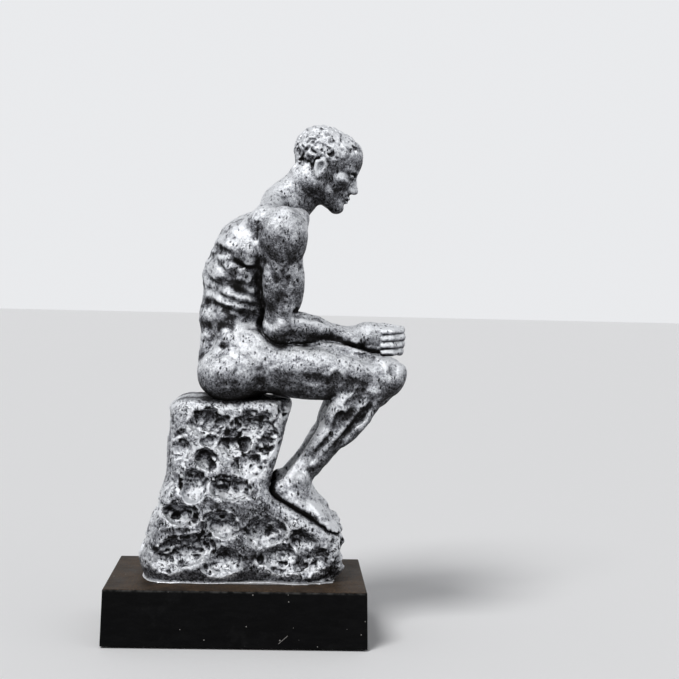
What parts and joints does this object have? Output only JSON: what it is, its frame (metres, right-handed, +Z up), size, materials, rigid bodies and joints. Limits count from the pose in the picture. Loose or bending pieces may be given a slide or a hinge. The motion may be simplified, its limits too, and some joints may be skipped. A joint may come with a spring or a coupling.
{
  "type": "seated figure statuette",
  "caption": "Statuette of a seated, resting man with clasped hands on a rough rock, silver patina, on a flat black plinth.",
  "frame": {"origin": "middle of the felt pad's underside, where the plinth rests", "axes": "+X the way the figure faces, +Y to the figure's left, +Z up"},
  "size_m": [0.155, 0.092, 0.27],
  "materials": {
    "silver_casting": "antique silver paint, dry-brushed over near-black",
    "silver_rock": "antique silver paint, dry-brushed over near-black",
    "black_plinth": "satin black paint, dusty on top",
    "felt": "black felt",
    "bead": "glossy silver-painted adhesive",
    "ballast": "cast plaster and stone powder",
    "steel": "bright zinc-plated steel",
    "brass": "plain brass"
  },
  "bodies": {
    "root": {"plinth": "black_plinth", "felt_pad": "felt", "rock_seat": "silver_rock", "ballast_core": "ballast", "bond_bead": "bead", "seat_rod": "steel", "rod_nut": "steel", "rod_washer": "steel", "torso_insert": "brass", "front_dowel": "steel", "rear_dowel": "steel", "torso": "silver_casting", "head": "silver_casting", "neck_pin": "steel", "left_arm": "silver_casting", "right_arm": "silver_casting", "left_shoulder_pin": "steel", "right_shoulder_pin": "steel", "clasped_hands": "silver_casting", "left_wrist_pin": "steel", "right_wrist_pin": "steel", "left_leg": "silver_casting", "right_leg": "silver_casting", "left_hip_pin": "steel", "right_hip_pin": "steel", "left_foot_pin": "steel", "right_foot_pin": "steel"}
  },
  "joints": []
}
